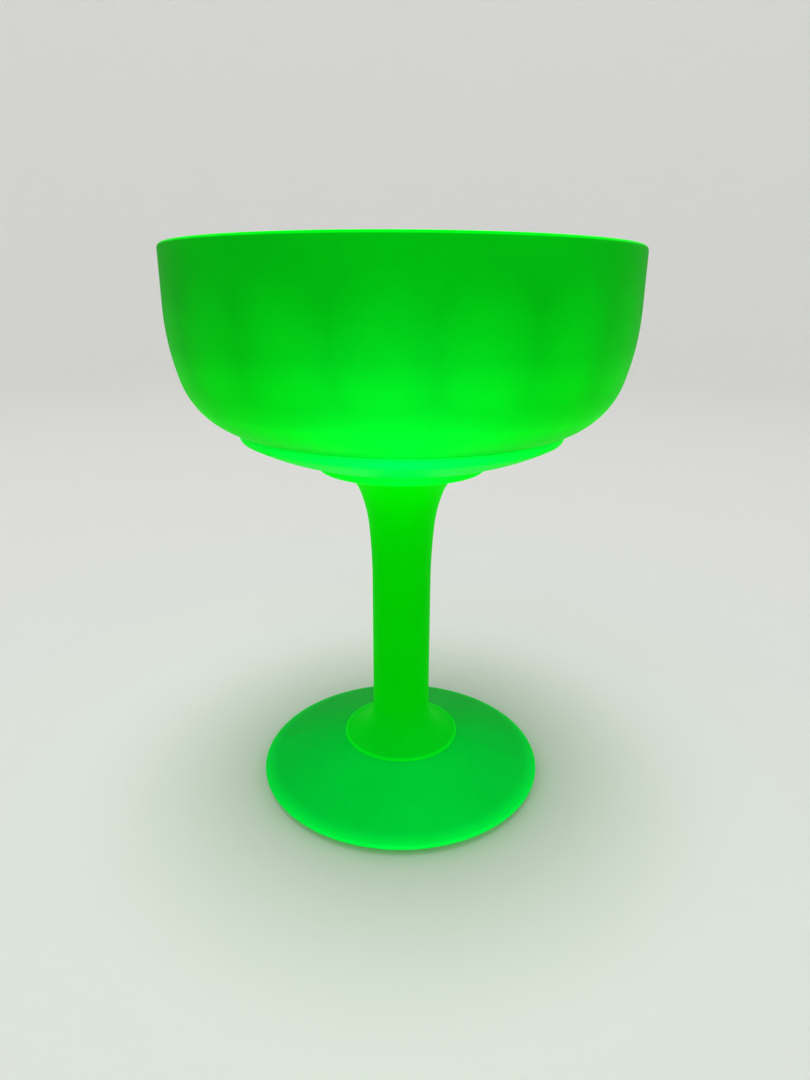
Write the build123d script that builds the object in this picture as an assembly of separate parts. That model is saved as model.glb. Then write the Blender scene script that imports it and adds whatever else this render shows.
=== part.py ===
"""Stemmed uranium glass dish: a pressed bowl on a pad, a wafer, a drawn stem and a pressed foot.

Every piece is turned about +Z, in millimetres. The origin is on the table, under the middle of the foot,
and -Y is the front. Neighbouring pieces meet on flat faces, where the hot glass was stuck together.
"""
import os
from math import atan2, cos, degrees, radians, sin, sqrt, tan

from build123d import *

# Bowl: outside
RIM_R = 63.5             # outside radius of the rim
HEIGHT = 162.4           # table to the top of the lip
WALL = 2.67              # glass at the lip
WALL_FOOT_Z = 147.5      # the wall is upright above this height
HAUNCH_R = 64.0          # long outer curve under the upright wall
HAUNCH_TURN = 17.0       # degrees that the haunch leans in
SHOULDER_R = 21.0        # tight outer curve down to the pad

# Bowl: inside
INNER_SHOULDER_R = 14.0  # tighter than outside, so the glass thickens downwards
FLOOR_TILT = 5.0         # slope of the dished floor at its edge, degrees
PANELS = 18              # wide optic flutes pressed inside
RIDGE_ANGLE = -3.6       # direction of one ridge between two panels, degrees from +X
PANEL_TOP_Z = 156.0      # where the panels run out, under the rim
PANEL_LEAN = 7.3         # degrees that each panel leans outwards

# Pad: the large step under the bowl
PAD_TOP_R = 45.5
PAD_BULGE_R = 46.4
PAD_EDGE_R = 45.9        # lower end of its rounded edge
PAD_EDGE_H = 2.4         # height of its rounded edge
PAD_LEVEL_R = 14.0       # its round underside would turn level here, inside the wafer
PAD_LEVEL_Z = 104.1      # and at this height
PAD_BOTTOM_R = 24.0      # the round underside ends here, where the wafer was stuck on

# Wafer: the small step under the pad
WAFER_BULGE_R = 24.9
WAFER_EDGE_R = 24.1
WAFER_EDGE_H = 2.5

# Stem
STEM_R = 9.05
FLARE_Z = 66.0           # the shaft starts to widen here
FLARE = ((190.0, 5.5), (42.0, 15.5), (14.0, 33.0))  # radius, and degrees that each tangent curve turns outwards
COVE_R = 9.35            # hollow curve at the bottom of the shaft
COLLAR_H = 0.8           # upright edge where the stem was stuck to the foot

# Foot
FOOT_R = 45.15
FOOT_EDGE_Z = 2.55       # the foot is widest at this height, along a thin edge
FOOT_TOP_ROUND = 1.0     # rounding of that edge above
FOOT_LOW_ROUND = 0.4     # and below
FOOT_SLOPE = 19.1        # slope of the top, degrees
FOOT_UNDERCUT = 32.0     # slope from the edge in to the ring underneath, degrees
SEAT_R = STEM_R + COVE_R
RING_WIDTH = 3.0         # flat ring that it stands on
HOLLOW_H = 7.0           # height of the shallow hollow underneath


def around(centre, radius, angle):
    """The point of a circle at an angle from the outward direction, in degrees."""
    return centre[0] + radius * cos(radians(angle)), centre[1] + radius * sin(radians(angle))


def arc(centre, radius, start, end):
    """An arc of the profile between two angles, in degrees."""
    middle = (start + end) / 2
    return ThreePointArc(*(around(centre, radius, angle) for angle in (start, middle, end)))


def turned(*edges):
    """The solid that a closed profile of radius and height makes when it is turned about +Z."""
    return revolve(Plane.XZ * make_face(edges), Axis.Z)


# The two outer curves of the bowl, and the height at which the shoulder reaches the pad
haunch_centre = (RIM_R - HAUNCH_R, WALL_FOOT_Z)
shoulder_centre = around(haunch_centre, HAUNCH_R - SHOULDER_R, -HAUNCH_TURN)
PAD_TOP_Z = shoulder_centre[1] - sqrt(SHOULDER_R**2 - (PAD_TOP_R - shoulder_centre[0]) ** 2)

# The round underside of the pad: one arc from its rounded edge to the wafer
pad_edge_z = PAD_TOP_Z - PAD_EDGE_H
pad_out, pad_up = PAD_EDGE_R - PAD_LEVEL_R, pad_edge_z - PAD_LEVEL_Z
pad_under_r = (pad_out**2 + pad_up**2) / (2 * pad_up)
pad_under_centre = (PAD_LEVEL_R, PAD_LEVEL_Z + pad_under_r)
pad_in = PAD_BOTTOM_R - PAD_LEVEL_R
PAD_BOTTOM_Z = pad_under_centre[1] - sqrt(pad_under_r**2 - pad_in**2)

# The flare of the stem, curve by curve from the upright shaft to the wafer
flare_curves = []
flare_end = (STEM_R, FLARE_Z)
lean = 0
for radius, turn in FLARE:
    centre = around(flare_end, radius, -lean)
    flare_curves.append(arc(centre, radius, 180 - lean, 180 - lean - turn))
    lean += turn
    flare_end = around(centre, radius, 180 - lean)
STEM_TOP_R, STEM_TOP_Z = flare_end


def make_bowl():
    lip_centre = (RIM_R - WALL / 2, HEIGHT - WALL / 2)
    pad_angle = degrees(atan2(PAD_TOP_Z - shoulder_centre[1], PAD_TOP_R - shoulder_centre[0]))
    outside = [
        Line((0, PAD_TOP_Z), (PAD_TOP_R, PAD_TOP_Z)),
        arc(shoulder_centre, SHOULDER_R, pad_angle, -HAUNCH_TURN),
        arc(haunch_centre, HAUNCH_R, -HAUNCH_TURN, 0),
        Line((RIM_R, WALL_FOOT_Z), (RIM_R, lip_centre[1])),
        arc(lip_centre, WALL / 2, 0, 90),
        Line((lip_centre[0], HEIGHT), (0, HEIGHT)),
        Line((0, HEIGHT), (0, PAD_TOP_Z)),
    ]
    inner_r = RIM_R - WALL
    inner_haunch_r = HAUNCH_R - WALL
    inner_centre = around(haunch_centre, inner_haunch_r - INNER_SHOULDER_R, -HAUNCH_TURN)
    floor_angle = FLOOR_TILT - 90
    floor_edge = around(inner_centre, INNER_SHOULDER_R, floor_angle)
    floor_r = floor_edge[0] / sin(radians(FLOOR_TILT))
    floor_centre = (0, floor_edge[1] + floor_r * cos(radians(FLOOR_TILT)))
    inside = [
        arc(floor_centre, floor_r, -90, floor_angle),
        arc(inner_centre, INNER_SHOULDER_R, floor_angle, -HAUNCH_TURN),
        arc(haunch_centre, inner_haunch_r, -HAUNCH_TURN, 0),
        Line((inner_r, WALL_FOOT_Z), (inner_r, lip_centre[1])),
        arc(lip_centre, WALL / 2, 180, 90),
        Line((lip_centre[0], HEIGHT), (0, HEIGHT)),
        Line((0, HEIGHT), around(floor_centre, floor_r, -90)),
    ]
    # Each panel is the flat side of a tapered prism, and leaves glass standing outside that prism.
    # The panels run out under the rim above, and over the shoulder below.
    panels_h = PANEL_TOP_Z - PAD_TOP_Z
    panels = extrude(
        RegularPolygon(
            inner_r - panels_h * tan(radians(PANEL_LEAN)), PANELS, major_radius=False, rotation=RIDGE_ANGLE
        ),
        amount=panels_h + WALL,
        taper=-PANEL_LEAN,
    )
    ring = Pos(0, 0, PAD_TOP_Z) * (extrude(Circle(RIM_R), amount=panels_h + WALL) - panels)
    return turned(*outside) - (turned(*inside) - ring)


def make_pad():
    start = degrees(atan2(pad_edge_z - pad_under_centre[1], pad_out))
    end = degrees(atan2(PAD_BOTTOM_Z - pad_under_centre[1], pad_in))
    return turned(
        Line((0, PAD_TOP_Z), (PAD_TOP_R, PAD_TOP_Z)),
        ThreePointArc((PAD_TOP_R, PAD_TOP_Z), (PAD_BULGE_R, PAD_TOP_Z - PAD_EDGE_H / 2),
                      (PAD_EDGE_R, pad_edge_z)),
        arc(pad_under_centre, pad_under_r, start, end),
        Line((PAD_BOTTOM_R, PAD_BOTTOM_Z), (0, PAD_BOTTOM_Z)),
        Line((0, PAD_BOTTOM_Z), (0, PAD_TOP_Z)),
    )


def make_wafer():
    edge_z = PAD_BOTTOM_Z - WAFER_EDGE_H
    return turned(
        Line((0, PAD_BOTTOM_Z), (PAD_BOTTOM_R, PAD_BOTTOM_Z)),
        ThreePointArc((PAD_BOTTOM_R, PAD_BOTTOM_Z), (WAFER_BULGE_R, PAD_BOTTOM_Z - WAFER_EDGE_H / 2),
                      (WAFER_EDGE_R, edge_z)),
        Line((WAFER_EDGE_R, edge_z), (STEM_TOP_R, STEM_TOP_Z)),
        Line((STEM_TOP_R, STEM_TOP_Z), (0, STEM_TOP_Z)),
        Line((0, STEM_TOP_Z), (0, PAD_BOTTOM_Z)),
    )


# The foot's sloping top, and the seat where the stem stands on it
top_round_centre = (FOOT_R - FOOT_TOP_ROUND, FOOT_EDGE_Z)
slope_start = around(top_round_centre, FOOT_TOP_ROUND, 90 - FOOT_SLOPE)
SEAT_Z = slope_start[1] + (slope_start[0] - SEAT_R) * tan(radians(FOOT_SLOPE))


def make_stem():
    cove_centre = (SEAT_R, SEAT_Z + COLLAR_H + COVE_R)
    return turned(
        Line((0, STEM_TOP_Z), (STEM_TOP_R, STEM_TOP_Z)),
        *flare_curves,
        Line((STEM_R, FLARE_Z), (STEM_R, cove_centre[1])),
        arc(cove_centre, COVE_R, 180, 270),
        Line((SEAT_R, SEAT_Z + COLLAR_H), (SEAT_R, SEAT_Z)),
        Line((SEAT_R, SEAT_Z), (0, SEAT_Z)),
        Line((0, SEAT_Z), (0, STEM_TOP_Z)),
    )


def make_foot():
    low_round_centre = (FOOT_R - FOOT_LOW_ROUND, FOOT_EDGE_Z)
    undercut = around(low_round_centre, FOOT_LOW_ROUND, FOOT_UNDERCUT - 90)
    ring_out_r = undercut[0] - undercut[1] / tan(radians(FOOT_UNDERCUT))
    ring_r = ring_out_r - RING_WIDTH
    hollow_r = (ring_r**2 + HOLLOW_H**2) / (2 * HOLLOW_H)
    hollow_centre = (0, HOLLOW_H - hollow_r)
    ring_angle = degrees(atan2(-hollow_centre[1], ring_r))
    return turned(
        Line((0, SEAT_Z), (SEAT_R, SEAT_Z)),
        Line((SEAT_R, SEAT_Z), slope_start),
        arc(top_round_centre, FOOT_TOP_ROUND, 90 - FOOT_SLOPE, 0),
        arc(low_round_centre, FOOT_LOW_ROUND, 0, FOOT_UNDERCUT - 90),
        Line(undercut, (ring_out_r, 0)),
        Line((ring_out_r, 0), (ring_r, 0)),
        arc(hollow_centre, hollow_r, ring_angle, 90),
        Line((0, HOLLOW_H), (0, SEAT_Z)),
    )


os.makedirs("parts", exist_ok=True)
for name, make in {"bowl": make_bowl, "pad": make_pad, "wafer": make_wafer, "stem": make_stem,
                   "foot": make_foot}.items():
    export_step(make(), f"parts/{name}.step")
    print("wrote", name)
print(f"joints at {PAD_TOP_Z:.2f}, {PAD_BOTTOM_Z:.2f}, {STEM_TOP_Z:.2f} and {SEAT_Z:.2f} mm")
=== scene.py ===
# %% [markdown]
# # A uranium glass dish
# This script dresses a stemmed glass dish in Blender. The dish is a round bowl, a thick pad and a small
# wafer under it, a slender stem and a low round foot. Each was a separate gather of hot glass, so each is a
# separate mesh here too. Every size is in metres, with millimetres written as `20 * MM`.

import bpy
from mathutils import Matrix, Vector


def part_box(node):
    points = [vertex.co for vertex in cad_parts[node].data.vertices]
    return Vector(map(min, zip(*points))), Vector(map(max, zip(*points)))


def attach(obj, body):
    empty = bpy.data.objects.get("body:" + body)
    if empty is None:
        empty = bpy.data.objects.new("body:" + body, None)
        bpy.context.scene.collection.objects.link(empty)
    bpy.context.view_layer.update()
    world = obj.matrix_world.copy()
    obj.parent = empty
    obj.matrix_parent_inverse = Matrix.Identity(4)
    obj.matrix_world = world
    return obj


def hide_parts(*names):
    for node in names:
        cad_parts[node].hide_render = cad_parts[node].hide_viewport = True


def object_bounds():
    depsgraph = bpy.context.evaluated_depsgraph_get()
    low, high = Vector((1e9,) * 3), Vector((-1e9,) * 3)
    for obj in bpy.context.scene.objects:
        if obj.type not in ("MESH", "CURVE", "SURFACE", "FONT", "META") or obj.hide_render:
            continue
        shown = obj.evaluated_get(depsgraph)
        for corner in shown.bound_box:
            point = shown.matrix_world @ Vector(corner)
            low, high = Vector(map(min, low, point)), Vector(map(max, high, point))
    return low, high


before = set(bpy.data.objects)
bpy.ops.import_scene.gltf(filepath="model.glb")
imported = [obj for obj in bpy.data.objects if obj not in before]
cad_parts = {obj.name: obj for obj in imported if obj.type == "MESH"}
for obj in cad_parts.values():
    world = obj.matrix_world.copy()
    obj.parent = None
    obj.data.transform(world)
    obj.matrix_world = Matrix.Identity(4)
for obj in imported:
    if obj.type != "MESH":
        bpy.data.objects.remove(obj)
cad_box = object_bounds()
print("parts to dress:", sorted(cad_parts))

# %% Tools and units
from math import atan2, ceil, cos, degrees, pi, radians, sin, sqrt, tan

import bmesh
import bpy
import numpy as np
from mathutils import Matrix, Vector

MM = 0.001
low, high = cad_box
RIM_R = (high.x - low.x) / 2
HEIGHT = high.z
print(f"rim radius {RIM_R / MM:.1f} mm, height {HEIGHT / MM:.1f} mm")

# %% [markdown]
# ## The camera
# The camera stands a little lower than the rim, close to the glass, and looks slightly down. From there the
# rim curves upwards like a brow, the inside stays hidden, and the top of the foot is seen. The lens is the
# wide one of a hand-held camera, so the distances below are given in rim radii. A hand never holds a camera
# quite level: the last two angles are that small tilt.

# %% Place the camera
CAMERA_BACK = 3.3375 * RIM_R
CAMERA_UP = 2.376 * RIM_R
CAMERA_DOWN = radians(18.67)
CAMERA_TURN = radians(-0.27)
CAMERA_ROLL = radians(0.33)
LENS = 24.33
SENSOR = 36.0

camera = bpy.data.objects.new("camera", bpy.data.cameras.new("camera"))
camera.data.lens = LENS
camera.data.sensor_width = SENSOR
camera.data.clip_start = 10 * MM
aim = Matrix.Rotation(CAMERA_TURN, 4, "Z") @ Matrix.Rotation(pi / 2 - CAMERA_DOWN, 4, "X")
stand = Matrix.Translation((0, -CAMERA_BACK, CAMERA_UP))
camera.matrix_world = stand @ aim @ Matrix.Rotation(CAMERA_ROLL, 4, "Z")
bpy.context.scene.collection.objects.link(camera)
bpy.context.scene.camera = camera
print(f"camera {CAMERA_BACK / MM:.0f} mm in front, {CAMERA_UP / MM:.0f} mm up")

# %% [markdown]
# ## Colours and nodes
# Colours are written as the hex values that a painter would pick on a screen. Blender mixes light, which is
# linear, so one function converts each value. A second one adds a shader or geometry node with its settings
# and its links in one line, which keeps a node tree as short as a recipe.

# %% Helpers for colours and nodes
def linear(hex_colour):
    """A screen colour such as #00CC14 as linear red, green, blue and a full alpha."""
    channels = [int(hex_colour[i : i + 2], 16) / 255 for i in (1, 3, 5)]
    return [c / 12.92 if c <= 0.04045 else ((c + 0.055) / 1.055) ** 2.4 for c in channels] + [1.0]


def add(tree, kind, inputs=None, **settings):
    """Adds a node. An input's value is a number, a colour, or another node's output to link."""
    node = tree.nodes.new(kind)
    for name, value in settings.items():
        setattr(node, name, value)
    for key, value in (inputs or {}).items():
        if isinstance(value, bpy.types.NodeSocket):
            tree.links.new(value, node.inputs[key])
        else:
            node.inputs[key].default_value = value
    return node


def maths(tree, operation, *values):
    """The result of one sum on numbers or outputs."""
    return add(tree, "ShaderNodeMath", dict(enumerate(values)), operation=operation).outputs[0]


print("linear green:", [round(c, 3) for c in linear("#00CC14")])

# %% [markdown]
# ## Outlines
# Everything here was pressed or turned about one upright axis, so each piece starts as half of its outline:
# a list of points, radius and height, from the axis round the glass and back to the axis. Round stretches are
# arcs, and straight ones are cut into short steps, so that the quads of the turned mesh stay even.

# %% Arcs and straights
STEP = 0.9 * MM   # the longest step along an arc; straights take steps twice as long


def around(centre, radius, angle):
    """The point of a circle at an angle from the outward direction, in degrees."""
    return centre[0] + radius * cos(radians(angle)), centre[1] + radius * sin(radians(angle))


def arc(centre, radius, start, end, least=5):
    """Points of an arc between two angles in degrees, both ends included."""
    steps = max(least, ceil(abs(radians(end - start)) * radius / STEP))
    return [around(centre, radius, start + (end - start) * i / steps) for i in range(steps + 1)]


def straight(start, end):
    """Points of a straight stretch, both ends included."""
    steps = max(1, ceil(sqrt((end[0] - start[0]) ** 2 + (end[1] - start[1]) ** 2) / (2 * STEP)))
    return [tuple(a + (b - a) * i / steps for a, b in zip(start, end)) for i in range(steps + 1)]


def joined(*stretches):
    """One outline from several stretches, without the points that they share."""
    points = []
    for point in (p for stretch in stretches for p in stretch):
        if not points or abs(point[0] - points[-1][0]) + abs(point[1] - points[-1][1]) > 0.001 * MM:
            points.append(point)
    return points


# %% Heights where the pieces meet
PAD_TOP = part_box("bowl")[0].z
WAFER_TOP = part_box("pad")[0].z
STEM_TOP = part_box("wafer")[0].z
FOOT_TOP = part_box("stem")[0].z
print("joints at", [round(z / MM, 2) for z in (PAD_TOP, WAFER_TOP, STEM_TOP, FOOT_TOP)], "mm")

# %% [markdown]
# ## The turning machine
# One Geometry Nodes tree turns every outline. It makes a flat grid, one row for each point of the outline and
# one column for each step round, and rolls it about the axis. The same tree presses the panels: where the
# outline is marked as the inside, the wall stops at a flat plane for each panel, so the glass is thick in the
# middle of a panel and thin on the ridges between them. It can also raise the two fine lines where the halves
# of the mould met. It writes how much glass lies behind each point, in millimetres, and the material uses
# that: the more glass, the more glow and the lighter the base colour. That is partly the real weaker glow of
# thin glass and partly painted shade on the thin ridges between the panels. A node tree suits this because
# the whole piece follows one rule.

# %% Build the turning tree
def turning_tree():
    tree = bpy.data.node_groups.new("turn_about_axis", "GeometryNodeTree")
    sockets = {
        "Outline": "Geometry", "Steps round": "Int", "Panels": "Int", "Ridge angle": "Float",
        "Panel lean": "Float", "Panel top": "Float", "Panel top radius": "Float", "Ridge softness": "Float",
        "Seam angle": "Float", "Seam height": "Float", "Seam width": "Float", "Glass": "Material",
    }
    for name, kind in sockets.items():
        tree.interface.new_socket(name, in_out="INPUT", socket_type="NodeSocket" + kind)
    tree.interface.new_socket("Piece", in_out="OUTPUT", socket_type="NodeSocketGeometry")
    given = add(tree, "NodeGroupInput").outputs

    # A grid with a row for each outline point and a column for each step round
    count = add(tree, "GeometryNodeAttributeDomainSize", {0: given["Outline"]}).outputs["Point Count"]
    columns = maths(tree, "ADD", given["Steps round"], 1)
    grid = add(tree, "GeometryNodeMeshGrid", {"Vertices X": columns, "Vertices Y": count}).outputs["Mesh"]
    index = add(tree, "GeometryNodeInputIndex").outputs[0]
    column = maths(tree, "FLOOR", maths(tree, "DIVIDE", maths(tree, "ADD", index, 0.5), count))
    row = maths(tree, "SUBTRACT", index, maths(tree, "MULTIPLY", column, count))

    def sampled(kind, source):
        node = add(tree, "GeometryNodeSampleIndex", data_type=kind, domain="POINT")
        tree.links.new(given["Outline"], node.inputs["Geometry"])
        tree.links.new(source, node.inputs["Value"])
        tree.links.new(row, node.inputs["Index"])
        return node.outputs["Value"]

    def marked(name):
        mark = add(tree, "GeometryNodeInputNamedAttribute", {"Name": name}, data_type="FLOAT")
        return mark.outputs["Attribute"]

    place = add(tree, "ShaderNodeSeparateXYZ",
                {0: sampled("FLOAT_VECTOR", add(tree, "GeometryNodeInputPosition").outputs[0])}).outputs
    inside = sampled("FLOAT", marked("inside"))
    moulded = sampled("FLOAT", marked("moulded"))
    skin = sampled("FLOAT", marked("skin_r"))
    hollow = sampled("FLOAT", marked("hollow_r"))

    # The flat panels, as a plane at each step round
    turn = maths(tree, "MULTIPLY", column, maths(tree, "DIVIDE", 2 * pi, given["Steps round"]))
    angle = maths(tree, "ADD", turn, given["Ridge angle"])
    sector = maths(tree, "DIVIDE", 2 * pi, given["Panels"])
    across = maths(tree, "SUBTRACT", maths(tree, "FLOORED_MODULO", turn, sector),
                   maths(tree, "MULTIPLY", sector, 0.5))
    drop = maths(tree, "SUBTRACT", given["Panel top"], place["Z"])
    apothem = maths(tree, "SUBTRACT", given["Panel top radius"],
                    maths(tree, "MULTIPLY", drop, maths(tree, "TANGENT", given["Panel lean"])))
    plane = maths(tree, "DIVIDE", apothem, maths(tree, "COSINE", across))
    pressed = maths(tree, "SMOOTH_MIN", hollow, plane, given["Ridge softness"])
    pushed = maths(tree, "MULTIPLY", inside, maths(tree, "SUBTRACT", hollow, pressed))
    radius = maths(tree, "SUBTRACT", place["X"], pushed)

    # The two mould lines, opposite each other
    beside = maths(tree, "MULTIPLY", place["X"],
                   maths(tree, "SINE", maths(tree, "SUBTRACT", angle, given["Seam angle"])))
    spread = maths(tree, "POWER", maths(tree, "DIVIDE", beside, given["Seam width"]), 2)
    bead = maths(tree, "MULTIPLY", maths(tree, "MULTIPLY", given["Seam height"], moulded),
                 maths(tree, "EXPONENT", maths(tree, "MULTIPLY", spread, -1)))

    # Roll the grid up, close its seam and poles, and note the depth of glass
    rolled = add(tree, "ShaderNodeCombineXYZ", {
        "X": maths(tree, "MULTIPLY", radius, maths(tree, "COSINE", angle)),
        "Y": maths(tree, "MULTIPLY", radius, maths(tree, "SINE", angle)),
        "Z": maths(tree, "ADD", place["Z"], bead),
    }).outputs[0]
    depth = maths(tree, "DIVIDE", maths(tree, "SUBTRACT", skin, pressed), MM)
    noted = add(tree, "GeometryNodeStoreNamedAttribute",
                {"Geometry": grid, "Name": "glass_mm", "Value": depth}, data_type="FLOAT", domain="POINT")
    moved = add(tree, "GeometryNodeSetPosition", {"Geometry": noted.outputs[0], "Position": rolled})
    closed = add(tree, "GeometryNodeMergeByDistance", {"Geometry": moved.outputs[0], "Distance": 0.002 * MM})
    real = add(tree, "GeometryNodeRealizeInstances", {"Geometry": closed.outputs[0]})
    coated = add(tree, "GeometryNodeSetMaterial", {"Geometry": real.outputs[0], "Material": given["Glass"]})
    add(tree, "NodeGroupOutput", {"Piece": coated.outputs[0]})
    return tree


turning = turning_tree()
print("turning tree:", len(turning.nodes), "nodes")

# %% Turn one outline into a finished piece
def turned_piece(name, outline, glass, steps=360, marks=None, **sizes):
    """A piece from its outline. marks holds one number for each outline point, by attribute name."""
    mesh = bpy.data.meshes.new(name)
    mesh.from_pydata([(r, 0, z) for r, z in outline], [(i, i + 1) for i in range(len(outline) - 1)], [])
    radii = [r for r, z in outline]
    defaults = {"inside": [0.0], "moulded": [0.0], "skin_r": radii, "hollow_r": [0.0]}
    for mark, values in {**defaults, **(marks or {})}.items():
        values = values if len(values) == len(outline) else list(values) * len(outline)
        mesh.attributes.new(mark, "FLOAT", "POINT").data.foreach_set("value", values)
    piece = bpy.data.objects.new(name, mesh)
    bpy.context.scene.collection.objects.link(piece)

    asked = {"Steps round": steps, "Panels": 1, "Panel top radius": 1.0, "Seam width": MM, "Glass": glass}
    asked.update(sizes)
    modifier = piece.modifiers.new("turn", "NODES")
    modifier.node_group = turning
    for item in turning.interface.items_tree:
        if item.in_out == "INPUT" and item.name in asked:
            modifier[item.identifier] = asked[item.name]

    evaluated = piece.evaluated_get(bpy.context.evaluated_depsgraph_get())
    piece.data = bpy.data.meshes.new_from_object(evaluated)
    piece.data.name = name
    piece.modifiers.clear()
    shell = bmesh.new()
    shell.from_mesh(piece.data)
    bmesh.ops.recalc_face_normals(shell, faces=shell.faces)
    print(f"{name}: {len(shell.faces)} faces, {shell.calc_volume() / MM**3 / 1000:.1f} cm3,",
          f"{sum(e.is_boundary for e in shell.edges)} open edges")
    shell.to_mesh(piece.data)
    shell.free()
    piece.data.shade_smooth()
    piece.data.set_sharp_from_angle(angle=radians(35))
    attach(piece, "root")
    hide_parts(name.removesuffix("_glass"))
    return piece


# %% [markdown]
# ## The glass
# The glass holds a trace of uranium oxide, which drinks in ultraviolet light and gives it back as green. Some
# of that light comes straight back from the side that the lamp shines on, and the rest is trapped, spreads
# through the whole piece and leaks out everywhere. The surface was dipped in acid to a silky matt, which
# hides any sharp reflection. One Principled shader carries all of it. Its base colour is the part that
# follows the lamp. The trapped part is a painted glow, an emission, so the glass shines though it is no lamp.
# A ramp over the height of the piece paints where that glow is brighter or dimmer. Glow and base colour are
# both scaled
# by one measure: the depth of glass that the turning tree noted, times slow clouds in the melt, plus painted
# bright borders along some edges. The depth part is partly the real stronger glow of thick glass and partly
# painted shade, darker on the thin ridges between the panels.

# %% The etched, glowing glass
ETCH_GRAIN = 0.45 * MM    # real etching is finer than 0.05 mm; drawn coarser so that it shows at all
ETCH_DEPTH = 0.05 * MM
ETCH_ROUGHNESS = (0.40, 0.52)
MELT_CLOUD = 14 * MM
CLOUD_LIGHT = (0.96, 1.04)
PRESS_RIPPLE = 9 * MM
RIPPLE_DEPTH = 0.4 * MM
GLASS_IOR = 1.52
SHEEN = 0.01              # the etching leaves next to no mirror reflection
MILKINESS = 0.4           # share of the light that wanders under the skin before it leaves
WANDER = 2 * MM


def etched_uranium_glass(name, bottom, top, glow, skin, trapped, thin_share=1.0, thin_mm=2.5, thick_mm=5.0,
                         edges=()):
    """Acid-etched uranium glass with a painted glow. glow lists (share of the height, colour of the trapped
    light) for the emission. skin is the base colour that the lamp finds. It is scaled like the glow, so it
    carries the same painted shade and painted bright borders. thin_share is how much of the glow and base
    colour the thinnest glass keeps, partly painted shade on thin ridges. edges lists painted bright borders
    as (radius or height, where it starts, where it is full, how much brighter)."""
    material = bpy.data.materials.new(name)
    material.use_nodes = True
    tree = material.node_tree
    tree.nodes.clear()
    place = add(tree, "ShaderNodeTexCoord").outputs["Object"]
    height = add(tree, "ShaderNodeSeparateXYZ", {0: place}).outputs["Z"]
    flat = add(tree, "ShaderNodeVectorMath", {0: place, 1: (1, 1, 0)}, operation="MULTIPLY").outputs[0]
    radius = add(tree, "ShaderNodeVectorMath", {0: flat}, operation="LENGTH").outputs["Value"]

    # The ramp paints the glow brighter or dimmer, and sets its colour, over the height of the piece.
    share = add(tree, "ShaderNodeMapRange", {"Value": height, "From Min": bottom, "From Max": top}).outputs[0]
    ramp = add(tree, "ShaderNodeValToRGB", {"Fac": share})
    ramp.color_ramp.interpolation = "B_SPLINE" if len(glow) > 3 else "EASE"
    while len(ramp.color_ramp.elements) < len(glow):
        ramp.color_ramp.elements.new(0.5)
    for element, (position, colour) in zip(ramp.color_ramp.elements, glow):
        element.position = position
        element.color = linear(colour)

    depth = add(tree, "ShaderNodeAttribute", attribute_name="glass_mm").outputs["Fac"]
    clouds = add(tree, "ShaderNodeTexNoise",
                 {"Vector": place, "Scale": 1 / MELT_CLOUD, "Detail": 3.0}).outputs[0]
    # The measure that scales glow and base colour: the depth of glass, partly painted shade on thin ridges,
    # times melt clouds.
    light = maths(
        tree, "MULTIPLY",
        add(tree, "ShaderNodeMapRange", {"Value": depth, "From Min": thin_mm, "From Max": thick_mm,
                                         "To Min": thin_share, "To Max": 1.0}).outputs[0],
        add(tree, "ShaderNodeMapRange", {"Value": clouds, "From Min": 0.3, "From Max": 0.7,
                                         "To Min": CLOUD_LIGHT[0], "To Max": CLOUD_LIGHT[1]}).outputs[0])
    # Each border adds a painted bright line to the glow and the base colour.
    for measure, start, full, extra in edges:
        painted_bright_border = add(tree, "ShaderNodeMapRange", {
            "Value": radius if measure == "radius" else height, "From Min": start, "From Max": full,
            "To Min": 0.0, "To Max": extra}, interpolation_type="SMOOTHSTEP").outputs[0]
        light = maths(tree, "ADD", light, painted_bright_border)
    glowing = add(tree, "ShaderNodeVectorMath", {0: ramp.outputs["Color"], "Scale": light}, operation="SCALE")
    # The base colour is scaled by the same measure, so the painted shade and painted bright borders are in it
    # too.
    lit = add(tree, "ShaderNodeVectorMath", {0: linear(skin)[:3], "Scale": light}, operation="SCALE")

    # The etched skin: a fine grain, over the slow ripple of pressed glass
    grain = add(tree, "ShaderNodeTexNoise",
                {"Vector": place, "Scale": 1 / ETCH_GRAIN, "Detail": 2.0}).outputs[0]
    ripple = add(tree, "ShaderNodeTexNoise",
                 {"Vector": place, "Scale": 1 / PRESS_RIPPLE, "Detail": 1.0}).outputs[0]
    rippled = add(tree, "ShaderNodeBump", {"Height": ripple, "Strength": 0.10, "Distance": RIPPLE_DEPTH})
    etched = add(tree, "ShaderNodeBump",
                 {"Height": grain, "Strength": 0.12, "Distance": ETCH_DEPTH, "Normal": rippled.outputs[0]})
    rough = add(tree, "ShaderNodeMapRange",
                {"Value": grain, "To Min": ETCH_ROUGHNESS[0], "To Max": ETCH_ROUGHNESS[1]}).outputs[0]

    shader = add(tree, "ShaderNodeBsdfPrincipled", {
        "Base Color": lit.outputs[0], "Roughness": rough, "IOR": GLASS_IOR, "Specular IOR Level": SHEEN,
        "Normal": etched.outputs[0], "Subsurface Weight": MILKINESS, "Subsurface Radius": (0.3, 1.0, 0.25),
        "Subsurface Scale": WANDER, "Emission Color": glowing.outputs[0], "Emission Strength": trapped,
    })
    add(tree, "ShaderNodeOutputMaterial", {"Surface": shader.outputs[0]})
    return material


# %% [markdown]
# ## The bowl
# The bowl was pressed in a mould, so its outside is smooth and upright with a rounded haunch, and its lip is
# a full round, melted smooth in the fire. A plunger made the inside, with eighteen wide flat panels that
# arch out just under the rim and fade where the haunch turns in.

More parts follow.
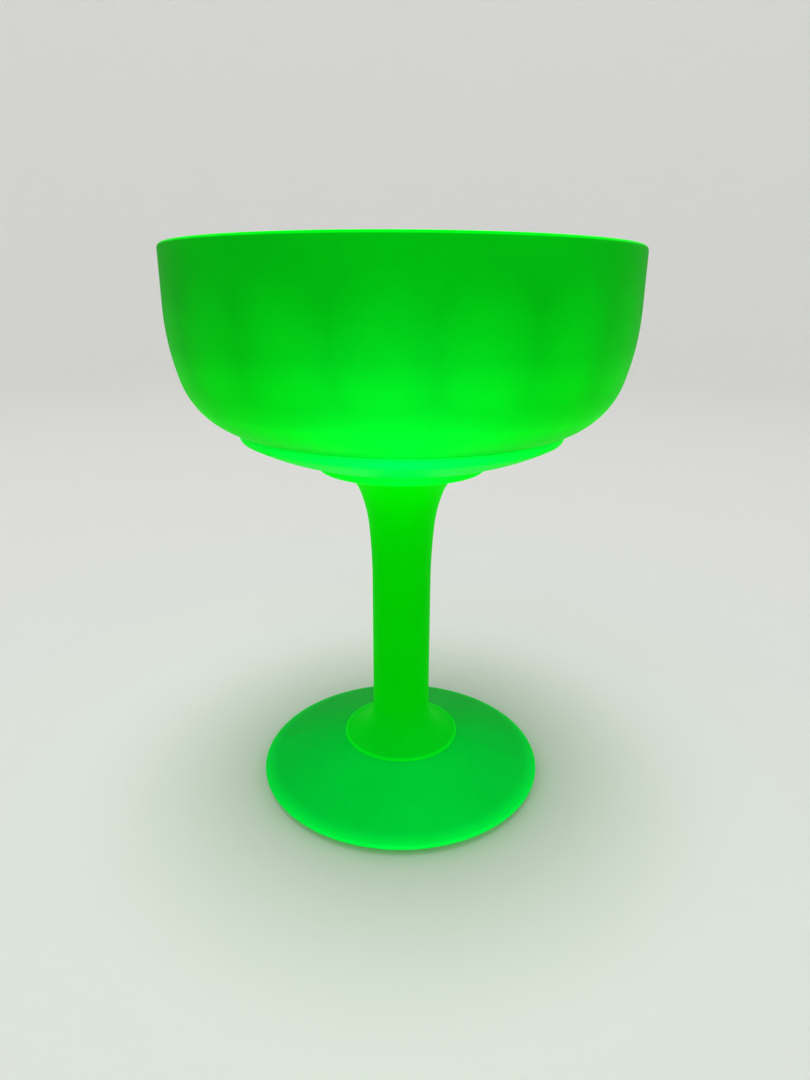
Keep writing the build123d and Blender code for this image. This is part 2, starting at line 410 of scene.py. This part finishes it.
# %% Outline of the bowl
WALL = 2.67 * MM
WALL_FOOT = 147.5 * MM
HAUNCH_R = 64 * MM
HAUNCH_TURN = 17
SHOULDER_R = 21 * MM
INNER_SHOULDER_R = 14 * MM
FLOOR_TILT = 5
PAD_R = 45.5 * MM
PANELS = 18
PANEL_LEAN = 7.3
PANEL_TOP = 156 * MM
RIDGE_ANGLE = -3.6
RIDGE_SOFTNESS = 0.15 * MM

haunch_centre = (RIM_R - HAUNCH_R, WALL_FOOT)
shoulder_centre = around(haunch_centre, HAUNCH_R - SHOULDER_R, -HAUNCH_TURN)
lip_centre = (RIM_R - WALL / 2, HEIGHT - WALL / 2)
pad_angle = degrees(atan2(PAD_TOP - shoulder_centre[1], PAD_R - shoulder_centre[0]))
inner_centre = around(haunch_centre, HAUNCH_R - WALL - INNER_SHOULDER_R, -HAUNCH_TURN)
floor_angle = FLOOR_TILT - 90
floor_edge = around(inner_centre, INNER_SHOULDER_R, floor_angle)
floor_r = floor_edge[0] / sin(radians(FLOOR_TILT))
floor_centre = (0, floor_edge[1] + floor_r * cos(radians(FLOOR_TILT)))

outside = joined(
    arc(shoulder_centre, SHOULDER_R, pad_angle, -HAUNCH_TURN),
    arc(haunch_centre, HAUNCH_R, -HAUNCH_TURN, 0),
    straight((RIM_R, WALL_FOOT), (RIM_R, lip_centre[1])),
    arc(lip_centre, WALL / 2, 0, 90, least=8),
)
inside = joined(
    arc(lip_centre, WALL / 2, 90, 180, least=8),
    straight((RIM_R - WALL, lip_centre[1]), (RIM_R - WALL, WALL_FOOT)),
    arc(haunch_centre, HAUNCH_R - WALL, 0, -HAUNCH_TURN),
    arc(inner_centre, INNER_SHOULDER_R, -HAUNCH_TURN, floor_angle),
    arc(floor_centre, floor_r, floor_angle, -90),
)
bowl_outline = joined(straight((0, PAD_TOP), (PAD_R, PAD_TOP)), outside, inside)
heights = [z for r, z in bowl_outline]
skin_at = np.interp(heights, [z for r, z in outside], [r for r, z in outside])
hollow_at = np.interp(heights, [z for r, z in reversed(inside)], [r for r, z in reversed(inside)])
print(f"bowl outline: {len(bowl_outline)} points, floor {min(z for r, z in inside) / MM:.1f} mm up")

# %% Press the bowl
# The glow is painted brightest on the low bowl and dimmer from the middle up. The border paints a bright line
# along the top of the lip.
bowl_glass = etched_uranium_glass(
    "etched_bowl_glass", PAD_TOP, HEIGHT,
    [(0.0, "#00E000"), (0.16, "#00F400"), (0.34, "#00E800"), (0.50, "#009C00"), (1.0, "#00A000")],
    skin="#006C0F", trapped=0.62, thin_share=0.72,
    edges=[("height", HEIGHT - 0.85 * MM, HEIGHT - 0.3 * MM, 1.3)],
)
is_inside = [float(i >= len(bowl_outline) - len(inside)) for i in range(len(bowl_outline))]
bowl = turned_piece(
    "bowl_glass", bowl_outline, bowl_glass, steps=360,
    marks={"inside": is_inside, "skin_r": skin_at, "hollow_r": hollow_at},
    **{"Panels": PANELS, "Ridge angle": radians(RIDGE_ANGLE), "Panel lean": radians(PANEL_LEAN),
       "Panel top": PANEL_TOP, "Panel top radius": RIM_R - WALL, "Ridge softness": RIDGE_SOFTNESS},
)

# %% [markdown]
# ## The pad and the wafer
# Under the bowl are two steps of solid glass. The wide pad and the small wafer were pressed onto each other
# while they were soft, so each has a round edge like a bead, and the pad has a shallow round underside. They
# are the thickest glass of all, and glow the most.

# %% Round edges of the two steps
def bead(upper, lower, bulge_r):
    """The rounded edge of a step: the arc through its upper end, its fullest point and its lower end."""
    fullest = (bulge_r, (upper[1] + lower[1]) / 2)
    a, b = np.array(fullest) - upper, np.array(lower) - upper
    across = 2 * (a[0] * b[1] - a[1] * b[0])
    centre = (upper[0] + (b[1] * (a @ a) - a[1] * (b @ b)) / across,
              upper[1] + (a[0] * (b @ b) - b[0] * (a @ a)) / across)
    ends = [degrees(atan2(p[1] - centre[1], p[0] - centre[0])) for p in (upper, lower)]
    return arc(centre, sqrt((upper[0] - centre[0]) ** 2 + (upper[1] - centre[1]) ** 2), *ends, least=12)


# %% Press the pad
PAD_BULGE_R = 46.4 * MM
PAD_EDGE_R = 45.9 * MM
PAD_EDGE_H = 2.4 * MM
PAD_LEVEL_R = 14 * MM
WAFER_R = 24 * MM

pad_edge = (PAD_EDGE_R, PAD_TOP - PAD_EDGE_H)
pad_out, pad_in = PAD_EDGE_R - PAD_LEVEL_R, WAFER_R - PAD_LEVEL_R
under_centre = (PAD_LEVEL_R, (pad_out**2 + pad_edge[1] ** 2 - pad_in**2 - WAFER_TOP**2)
                / (2 * (pad_edge[1] - WAFER_TOP)))
under_r = sqrt(pad_in**2 + (under_centre[1] - WAFER_TOP) ** 2)
under_ends = [degrees(atan2(z - under_centre[1], out))
              for z, out in ((pad_edge[1], pad_out), (WAFER_TOP, pad_in))]
pad_outline = joined(
    straight((0, PAD_TOP), (PAD_R, PAD_TOP)),
    bead((PAD_R, PAD_TOP), pad_edge, PAD_BULGE_R),
    arc(under_centre, under_r, *under_ends),
    straight((WAFER_R, WAFER_TOP), (0, WAFER_TOP)),
)
print(f"the underside of the pad is an arc of {under_r / MM:.1f} mm")
# The glow is painted brightest and a little blue at the top of the pad, next to the bowl.
pad_glass = etched_uranium_glass(
    "etched_pad_glass", WAFER_TOP, PAD_TOP, [(0.0, "#00F000"), (0.7, "#00F800"), (1.0, "#00FF28")],
    skin="#006020", trapped=0.70)
pad = turned_piece("pad_glass", pad_outline, pad_glass)

# %% [markdown]
# ## The stem
# A stem like this is pressed with its collar, or drawn out of the wafer while hot. Pulling makes the long
# flare at the top: three tangent curves, each tighter than the one below. At the bottom a hollow curve
# spreads it to a small collar, which was stuck to the foot. The wafer above it ends where the flare does, so
# the flare is worked out first.

# %% Curves of the flare
STEM_R = 9.05 * MM
FLARE_START = 66 * MM
FLARE = ((190 * MM, 5.5), (42 * MM, 15.5), (14 * MM, 33.0))   # radius and turn in degrees of each curve

flare = []
flare_end = (STEM_R, FLARE_START)
lean = 0
for curve_r, turn in FLARE:
    curve_centre = around(flare_end, curve_r, -lean)
    flare += arc(curve_centre, curve_r, 180 - lean, 180 - lean - turn)
    lean += turn
    flare_end = around(curve_centre, curve_r, 180 - lean)
print(f"the flare ends {flare_end[0] / MM:.1f} mm out, {flare_end[1] / MM:.1f} mm up")

# %% Press the wafer
WAFER_BULGE_R = 24.9 * MM
WAFER_EDGE_R = 24.1 * MM
WAFER_EDGE_H = 2.5 * MM

wafer_edge = (WAFER_EDGE_R, WAFER_TOP - WAFER_EDGE_H)
wafer_outline = joined(
    straight((0, WAFER_TOP), (WAFER_R, WAFER_TOP)),
    bead((WAFER_R, WAFER_TOP), wafer_edge, WAFER_BULGE_R),
    straight(wafer_edge, flare_end),
    straight(flare_end, (0, STEM_TOP)),
)
# The glow is painted brightest and a little blue at the top of the wafer.
wafer_glass = etched_uranium_glass(
    "etched_wafer_glass", STEM_TOP, WAFER_TOP, [(0.0, "#00F000"), (0.6, "#00F800"), (1.0, "#00FF20")],
    skin="#006010", trapped=0.75)
wafer = turned_piece("wafer_glass", wafer_outline, wafer_glass)

# %% Draw the stem
COVE_R = 9.35 * MM
COLLAR_H = 0.8 * MM
COLLAR_ROUND = 0.35 * MM
COVE_END = 267   # the hollow curve stops a little short of level, and the round of the collar takes over
COLLAR_START = 80
SEAT_R = STEM_R + COVE_R

cove_centre = (SEAT_R, FOOT_TOP + COLLAR_H + COVE_R)
round_centre = (SEAT_R - COLLAR_ROUND, FOOT_TOP + COLLAR_H - COLLAR_ROUND)
stem_outline = joined(
    straight((0, STEM_TOP), flare_end),
    reversed(flare),
    straight((STEM_R, FLARE_START), (STEM_R, cove_centre[1])),
    arc(cove_centre, COVE_R, 180, COVE_END),
    arc(round_centre, COLLAR_ROUND, COLLAR_START, 0),
    straight((SEAT_R, round_centre[1]), (SEAT_R, FOOT_TOP)),
    straight((SEAT_R, FOOT_TOP), (0, FOOT_TOP)),
)
# The glow is painted brighter towards the top of the stem. The border paints a bright ring on the edge of the
# collar.
stem_glass = etched_uranium_glass(
    "etched_stem_glass", FOOT_TOP, STEM_TOP,
    [(0.0, "#00C018"), (0.15, "#00BC00"), (0.72, "#00C400"), (0.88, "#00D000"), (1.0, "#00F000")],
    skin="#003000", trapped=0.95,
    edges=[("radius", SEAT_R - 0.9 * MM, SEAT_R - 0.2 * MM, 0.25)])
stem = turned_piece("stem_glass", stem_outline, stem_glass, steps=240)

# %% [markdown]
# ## The foot
# The foot is a low cone with a thin edge, pressed in a two-part mould, which left a faint raised line on
# each side. Under the edge it turns in to a flat ground ring. It stands on that ring and is hollow inside it,
# so it can't rock.

# %% Press the foot
FOOT_R = 45.15 * MM
FOOT_EDGE_Z = 2.55 * MM
FOOT_TOP_ROUND = 1.0 * MM
FOOT_LOW_ROUND = 0.4 * MM
FOOT_SLOPE = 19.1
FOOT_UNDERCUT = 32
RING_WIDTH = 3 * MM
HOLLOW_H = 7 * MM
SEAM_ANGLE = -9
SEAM_H = 0.12 * MM
SEAM_W = 0.5 * MM

top_round_centre = (FOOT_R - FOOT_TOP_ROUND, FOOT_EDGE_Z)
low_round_centre = (FOOT_R - FOOT_LOW_ROUND, FOOT_EDGE_Z)
slope_start = around(top_round_centre, FOOT_TOP_ROUND, 90 - FOOT_SLOPE)
undercut = around(low_round_centre, FOOT_LOW_ROUND, FOOT_UNDERCUT - 90)
ring_out_r = undercut[0] - undercut[1] / tan(radians(FOOT_UNDERCUT))
ring_r = ring_out_r - RING_WIDTH
hollow_r = (ring_r**2 + HOLLOW_H**2) / (2 * HOLLOW_H)
hollow_centre = (0, HOLLOW_H - hollow_r)
ring_angle = degrees(atan2(-hollow_centre[1], ring_r))
foot_outline = joined(
    straight((0, FOOT_TOP), (SEAT_R, FOOT_TOP)),
    straight((SEAT_R, FOOT_TOP), slope_start),
    arc(top_round_centre, FOOT_TOP_ROUND, 90 - FOOT_SLOPE, 0, least=8),
    arc(low_round_centre, FOOT_LOW_ROUND, 0, FOOT_UNDERCUT - 90, least=6),
    straight(undercut, (ring_out_r, 0)),
    straight((ring_out_r, 0), (ring_r, 0)),
    arc(hollow_centre, hollow_r, ring_angle, 90),
)
is_moulded = [float(z > FOOT_EDGE_Z and r > SEAT_R) for r, z in foot_outline]
# The glow is painted a little brighter low down near the edge. The blue in the skin colour is a painted
# reflection, and the border paints a bright band along the edge of the foot.
foot_glass = etched_uranium_glass(
    "etched_foot_glass", 0, FOOT_TOP, [(0.0, "#008C00"), (0.4, "#007C00"), (1.0, "#007C00")],
    skin="#008238", trapped=0.80,
    edges=[("radius", FOOT_R - 4.8 * MM, FOOT_R - 0.3 * MM, 0.32)])
foot = turned_piece(
    "foot_glass", foot_outline, foot_glass, steps=720, marks={"moulded": is_moulded},
    **{"Seam angle": radians(SEAM_ANGLE), "Seam height": SEAM_H, "Seam width": SEAM_W},
)

# %% [markdown]
# ## Studio
# The dish stands on a round sheet of pale paper that curves up into a wall all the way round, so there is no
# horizon from any side. A soft lamp above lights everything gently, and a second one only the paper. The
# ultraviolet lamps are the ones that the glass answers to: a soft one in front, near the camera, a small
# torch low in front that shines up at the pad, and one behind for the bowl and stem. Blender has no
# ultraviolet, so each of these has the colour of the answer. Ultraviolet can't be seen on paper or as a
# reflection, so light linking keeps these three on the glass alone.

# %% Paper sweep
FLAT_R = 1.2
SWEEP_R = 1.0
WALL_TOP = 2.2
SWEEP_STEPS = 96
BEND_STEP = 3   # degrees

bend = [around((FLAT_R, SWEEP_R), SWEEP_R, angle) for angle in range(-90, 1, BEND_STEP)]
sweep_line = joined([(0, 0)], bend, [(FLAT_R + SWEEP_R, WALL_TOP)])
paper_shell = bmesh.new()
line = [paper_shell.verts.new((r, 0, z)) for r, z in sweep_line]
edges_of_line = [paper_shell.edges.new(pair) for pair in zip(line, line[1:])]
bmesh.ops.spin(paper_shell, geom=line + edges_of_line, axis=(0, 0, 1), cent=(0, 0, 0), angle=2 * pi,
               steps=SWEEP_STEPS)
bmesh.ops.remove_doubles(paper_shell, verts=paper_shell.verts, dist=0.01 * MM)
bmesh.ops.recalc_face_normals(paper_shell, faces=paper_shell.faces)
bmesh.ops.reverse_faces(paper_shell, faces=[f for f in paper_shell.faces if f.normal.dot(
    Vector((0, 0, HEIGHT)) - f.calc_center_median()) < 0])
sweep_mesh = bpy.data.meshes.new("paper_sweep")
paper_shell.to_mesh(sweep_mesh)
paper_shell.free()
sweep_mesh.shade_smooth()
sweep = bpy.data.objects.new("paper_sweep", sweep_mesh)
bpy.context.scene.collection.objects.link(sweep)
paper = bpy.data.materials.new("pale_paper")
paper.use_nodes = True
paper_shader = paper.node_tree.nodes["Principled BSDF"]
paper_shader.inputs["Base Color"].default_value = linear("#E6E6E4")
paper_shader.inputs["Roughness"].default_value = 0.9
sweep_mesh.materials.append(paper)
print("paper sweep:", len(sweep_mesh.polygons), "faces")


# %% Lamps
def aimed_lamp(name, kind, place, power, target=(0, 0, HEIGHT / 2), only=None, **settings):
    """A lamp that faces a target. only lists the objects that it lights, and they don't mirror it."""
    lamp = bpy.data.objects.new(name, bpy.data.lights.new(name, kind))
    lamp.data.energy = power
    for setting, value in settings.items():
        setattr(lamp.data, setting, value)
    lamp.location = place
    lamp.rotation_euler = (Vector(target) - lamp.location).to_track_quat("-Z", "Y").to_euler()
    bpy.context.scene.collection.objects.link(lamp)
    if only:
        lamp.visible_glossy = False
        lamp.light_linking.receiver_collection = bpy.data.collections.new("lit by " + name)
        for lit_object in only:
            lamp.light_linking.receiver_collection.objects.link(lit_object)
    return lamp


GREEN_ANSWER = (1, 1, 0.3)
BLUE_ANSWER = (0.33, 0.5, 1)   # right under a strong lamp the answer turns towards blue

above_foot = [bowl, pad, wafer, stem]
all_glass = above_foot + [foot]
aimed_lamp("top_lamp", "AREA", (-0.3, -0.5, 1.5), 3.5, size=1.2)
aimed_lamp("paper_lamp", "POINT", (0, 0, 2.6), 115.0, only=[sweep], shadow_soft_size=0.6)
aimed_lamp("ultraviolet_lamp", "AREA", (0.045, -0.50, 0.24), 5.6, size=0.2, color=GREEN_ANSWER,
           only=all_glass)
aimed_lamp("ultraviolet_torch", "SPOT", (0.01, -0.30, 0.07), 20.0, target=(0, -0.056, 0.1098),
           color=BLUE_ANSWER, spot_size=radians(14.5), spot_blend=1.0, shadow_soft_size=0.02, only=all_glass)
aimed_lamp("back_ultraviolet_lamp", "AREA", (-0.3, 0.85, 0.40), 12.0, size=0.25, color=GREEN_ANSWER,
           only=above_foot)
world = bpy.data.worlds.new("studio")
world.use_nodes = True
world.node_tree.nodes["Background"].inputs["Color"].default_value = linear("#F4F6F8")
world.node_tree.nodes["Background"].inputs["Strength"].default_value = 0.2
bpy.context.scene.world = world
bpy.context.scene.view_settings.view_transform = "Standard"
